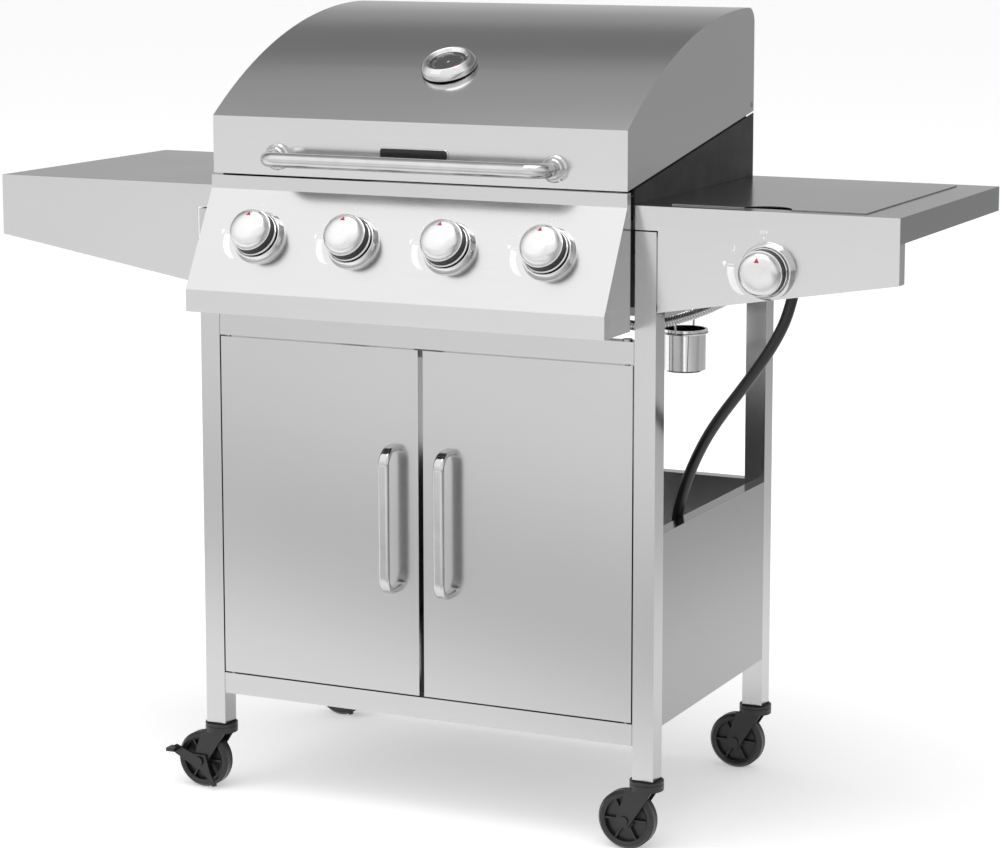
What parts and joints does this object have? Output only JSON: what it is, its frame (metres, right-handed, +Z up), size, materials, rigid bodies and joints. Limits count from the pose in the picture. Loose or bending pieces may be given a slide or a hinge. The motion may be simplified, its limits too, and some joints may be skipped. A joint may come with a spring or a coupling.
{
  "type": "gas barbecue grill",
  "caption": "Gas barbecue on a cabinet cart: hinged lid, sloped control panel, side shelves, side burner, doors, drip tray and swivel castors.",
  "frame": {"origin": "on the ground under the middle of the overall box", "axes": "+X to the user's right along both shelves, +Y from the control panel to the back, +Z up"},
  "size_m": [1.25, 0.5124, 1.031],
  "materials": {
    "stainless": "brushed sheet, grain along its long side",
    "stainless_leg": "brushed square tube",
    "stainless_inner": "plain rolled sheet",
    "chrome": "polished",
    "knob_cap": "satin, round brushed, with a darker ribbed ring",
    "black_enamel": "semi-matte heat-proof enamel",
    "cast_iron": "matte porcelain coat",
    "plated_wire": "plated rod",
    "burner_steel": "heat-dulled tube",
    "valve_alloy": "as cast",
    "brass": "turned",
    "galvanised": "zinc-coated sheet",
    "castor_black": "moulded, fine grain",
    "castor_steel": "dark zinc",
    "hose_rubber": "smooth matte",
    "flex_steel": "corrugated",
    "badge_black": "blank black plate with a bright rim",
    "nut_plastic": "knurled",
    "dial": "polished case, black dial under glass"
  },
  "bodies": {
    "cart": {"legs": "stainless_leg", "cabinet_rails": "stainless", "side_panels": "stainless", "rear_panel": "stainless", "tank_shelf": "galvanised", "caster_stems": "castor_black", "firebox": "black_enamel", "cooking_grates": "cast_iron", "warming_rack": "plated_wire", "heat_plates": "burner_steel", "burners": "burner_steel", "gas_manifold": "valve_alloy", "control_panel": "stainless", "knob_bezels": "chrome", "shelf_top_left": "stainless", "shelf_top_right": "stainless", "shelf_front_left": "stainless", "shelf_front_right": "stainless", "side_burner_pan": "stainless_inner", "side_burner_head": "burner_steel", "side_burner_grate": "plated_wire", "side_valve": "valve_alloy", "door_hinge_pins": "castor_steel", "gas_hose": "hose_rubber", "burner_pipe": "flex_steel", "regulator": "valve_alloy"},
    "lid": {"lid_shell": "stainless", "lid_handle": "chrome", "thermometer": "dial", "badge": "badge_black", "lid_hinge_bolts": "chrome"},
    "left_door": {"door_left": "stainless", "door_handle_left": "chrome"},
    "right_door": {"door_right": "stainless", "door_handle_right": "chrome"},
    "drip_tray": {"grease_tray": "galvanised"},
    "drip_cup": {"grease_cup": "stainless_inner", "cup_hanger": "plated_wire"},
    "burner_cover": {"side_burner_cover": "stainless"},
    "hose_nut": {"cylinder_nut": "nut_plastic"},
    "stem_1": {"valve_stem_1": "brass"},
    "dial_1": {"knob_1": "knob_cap"},
    "stem_2": {"valve_stem_2": "brass"},
    "dial_2": {"knob_2": "knob_cap"},
    "stem_3": {"valve_stem_3": "brass"},
    "dial_3": {"knob_3": "knob_cap"},
    "stem_4": {"valve_stem_4": "brass"},
    "dial_4": {"knob_4": "knob_cap"},
    "stem_side": {"valve_stem_side": "brass"},
    "dial_side": {"knob_side": "knob_cap"},
    "castor_fl": {"caster_fork_fl": "castor_black"},
    "wheel_fl": {"caster_wheel_fl": "castor_black"},
    "brake_fl": {"caster_brake_fl": "castor_black"},
    "castor_fr": {"caster_fork_fr": "castor_black"},
    "wheel_fr": {"caster_wheel_fr": "castor_black"},
    "castor_rl": {"caster_fork_rl": "castor_black"},
    "wheel_rl": {"caster_wheel_rl": "castor_black"},
    "brake_rl": {"caster_brake_rl": "castor_black"},
    "castor_rr": {"caster_fork_rr": "castor_black"},
    "wheel_rr": {"caster_wheel_rr": "castor_black"}
  },
  "joints": [
    {"name": "lid_hinge", "type": "hinge", "parent": "cart", "child": "lid", "pos_m": [0, 0.2419, 0.9025], "axis": [-1, 0, 0], "range_deg": [0, 85]},
    {"name": "left_door_hinge", "type": "hinge", "parent": "cart", "child": "left_door", "pos_m": [-0.281, -0.1556, 0.3875], "axis": [0, 0, -1], "range_deg": [0, 100]},
    {"name": "right_door_hinge", "type": "hinge", "parent": "cart", "child": "right_door", "pos_m": [0.281, -0.1556, 0.3875], "axis": [0, 0, 1], "range_deg": [0, 100]},
    {"name": "drip_tray_slide", "type": "slide", "parent": "cart", "child": "drip_tray", "axis": [0, 1, 0], "range_m": [0, 0.25]},
    {"name": "drip_cup_swing", "type": "hinge", "parent": "drip_tray", "child": "drip_cup", "pos_m": [0.252, 0.1009, 0.6495], "axis": [0, 1, 0], "range_deg": [-15, 15]},
    {"name": "burner_cover_lift", "type": "slide", "parent": "cart", "child": "burner_cover", "axis": [0, 0, 1], "range_m": [0, 0.3]},
    {"name": "hose_nut_spin", "type": "hinge", "parent": "cart", "child": "hose_nut", "pos_m": [0.279, -0.0031, 0.1905], "axis": [0, 0, -1], "continuous": true},
    {"name": "knob_1_push", "type": "slide", "parent": "cart", "child": "stem_1", "axis": [0, 0.876, -0.4824], "range_m": [0, 0.003], "stiffness_N_per_m": 1500, "springref_m": -0.002},
    {"name": "knob_1_turn", "type": "hinge", "parent": "stem_1", "child": "dial_1", "pos_m": [-0.201, -0.21072, 0.749], "axis": [0, -0.876, 0.4824], "range_deg": [0, 190]},
    {"name": "knob_2_push", "type": "slide", "parent": "cart", "child": "stem_2", "axis": [0, 0.876, -0.4824], "range_m": [0, 0.003], "stiffness_N_per_m": 1500, "springref_m": -0.002},
    {"name": "knob_2_turn", "type": "hinge", "parent": "stem_2", "child": "dial_2", "pos_m": [-0.067, -0.21072, 0.749], "axis": [0, -0.876, 0.4824], "range_deg": [0, 190]},
    {"name": "knob_3_push", "type": "slide", "parent": "cart", "child": "stem_3", "axis": [0, 0.876, -0.4824], "range_m": [0, 0.003], "stiffness_N_per_m": 1500, "springref_m": -0.002},
    {"name": "knob_3_turn", "type": "hinge", "parent": "stem_3", "child": "dial_3", "pos_m": [0.067, -0.21072, 0.749], "axis": [0, -0.876, 0.4824], "range_deg": [0, 190]},
    {"name": "knob_4_push", "type": "slide", "parent": "cart", "child": "stem_4", "axis": [0, 0.876, -0.4824], "range_m": [0, 0.003], "stiffness_N_per_m": 1500, "springref_m": -0.002},
    {"name": "knob_4_turn", "type": "hinge", "parent": "stem_4", "child": "dial_4", "pos_m": [0.201, -0.21072, 0.749], "axis": [0, -0.876, 0.4824], "range_deg": [0, 190]},
    {"name": "knob_side_push", "type": "slide", "parent": "cart", "child": "stem_side", "axis": [0, 1, 0], "range_m": [0, 0.003], "stiffness_N_per_m": 1500, "springref_m": -0.002},
    {"name": "knob_side_turn", "type": "hinge", "parent": "stem_side", "child": "dial_side", "pos_m": [0.463, -0.1611, 0.7375], "axis": [0, -1, 0], "range_deg": [0, 190]},
    {"name": "castor_fl_swivel", "type": "hinge", "parent": "cart", "child": "castor_fl", "pos_m": [-0.306, -0.1471, 0.0825], "axis": [0, 0, 1], "continuous": true},
    {"name": "wheel_fl_spin", "type": "hinge", "parent": "castor_fl", "child": "wheel_fl", "pos_m": [-0.331, -0.1471, 0.0375], "axis": [0, 1, 0], "continuous": true},
    {"name": "brake_fl_pedal", "type": "hinge", "parent": "castor_fl", "child": "brake_fl", "pos_m": [-0.331, -0.1471, 0.0375], "axis": [0, -1, 0], "range_deg": [0, 20]},
    {"name": "castor_fr_swivel", "type": "hinge", "parent": "cart", "child": "castor_fr", "pos_m": [0.306, -0.1471, 0.0825], "axis": [0, 0, 1], "continuous": true},
    {"name": "wheel_fr_spin", "type": "hinge", "parent": "castor_fr", "child": "wheel_fr", "pos_m": [0.281, -0.1471, 0.0375], "axis": [0, 1, 0], "continuous": true},
    {"name": "castor_rl_swivel", "type": "hinge", "parent": "cart", "child": "castor_rl", "pos_m": [-0.306, 0.2349, 0.0825], "axis": [0, 0, 1], "continuous": true},
    {"name": "wheel_rl_spin", "type": "hinge", "parent": "castor_rl", "child": "wheel_rl", "pos_m": [-0.331, 0.2349, 0.0375], "axis": [0, 1, 0], "continuous": true},
    {"name": "brake_rl_pedal", "type": "hinge", "parent": "castor_rl", "child": "brake_rl", "pos_m": [-0.331, 0.2349, 0.0375], "axis": [0, -1, 0], "range_deg": [0, 20]},
    {"name": "castor_rr_swivel", "type": "hinge", "parent": "cart", "child": "castor_rr", "pos_m": [0.306, 0.2349, 0.0825], "axis": [0, 0, 1], "continuous": true},
    {"name": "wheel_rr_spin", "type": "hinge", "parent": "castor_rr", "child": "wheel_rr", "pos_m": [0.281, 0.2349, 0.0375], "axis": [0, 1, 0], "continuous": true}
  ]
}
